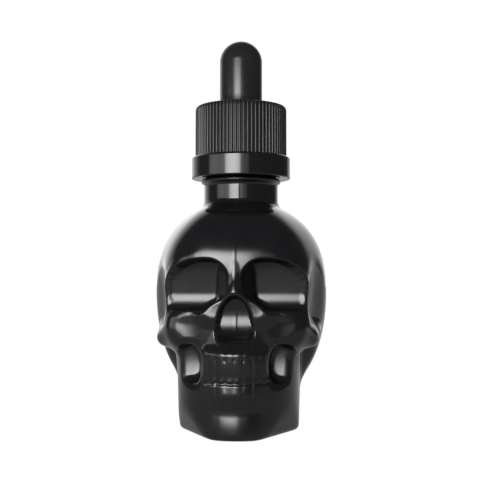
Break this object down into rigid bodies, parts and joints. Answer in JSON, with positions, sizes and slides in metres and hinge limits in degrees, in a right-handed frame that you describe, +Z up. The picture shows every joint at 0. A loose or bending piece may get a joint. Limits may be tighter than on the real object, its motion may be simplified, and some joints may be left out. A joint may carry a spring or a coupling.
{
  "type": "skull dropper bottle",
  "caption": "Skull-shaped black glass bottle with a screw neck, a ribbed child-resistant cap, a break-off ring, and a rubber bulb on a glass pipette for dispensing drops.",
  "frame": {"origin": "on the neck axis at the level of the base that the bottle stands on", "axes": "+Z up along the neck axis towards the bulb, the skull's face towards -Y"},
  "size_m": [0.0414, 0.0457, 0.0936],
  "materials": {
    "black_glass": "opaque black glass, glossy with a soft moulded ripple",
    "ring_plastic": "smooth glossy black polypropylene",
    "cap_plastic": "satin black polypropylene",
    "bulb_rubber": "matte black moulded rubber",
    "clear_glass": "clear drawn glass tube with a fire-polished tip"
  },
  "bodies": {
    "bottle": {"skull_bottle": "black_glass"},
    "tamper_ring": {"tamper_ring": "ring_plastic"},
    "dropper": {"bulb": "bulb_rubber", "pipette": "clear_glass"},
    "inner_cap": {"inner_cap": "cap_plastic"},
    "outer_cap": {"outer_cap": "cap_plastic"}
  },
  "joints": [
    {"name": "ring_turn", "type": "hinge", "parent": "bottle", "child": "tamper_ring", "pos_m": [0, 0, 0.0622], "axis": [0, 0, 1], "continuous": true},
    {"name": "dropper_lift", "type": "slide", "parent": "bottle", "child": "dropper", "axis": [0, 0, 1], "range_m": [0, 0.0667]},
    {"name": "cap_turn", "type": "hinge", "parent": "dropper", "child": "inner_cap", "pos_m": [0, 0, 0.07], "axis": [0, 0, 1], "range_deg": [0, 7560]},
    {"name": "child_lock_press", "type": "slide", "parent": "inner_cap", "child": "outer_cap", "axis": [0, 0, 1], "range_m": [-0.001, 0], "stiffness_N_per_m": 2000, "springref_m": 0.0005}
  ],
  "couplings": [
    {"joint": "dropper_lift", "follows": "cap_turn", "m_per_rad": 0.00050532}
  ]
}
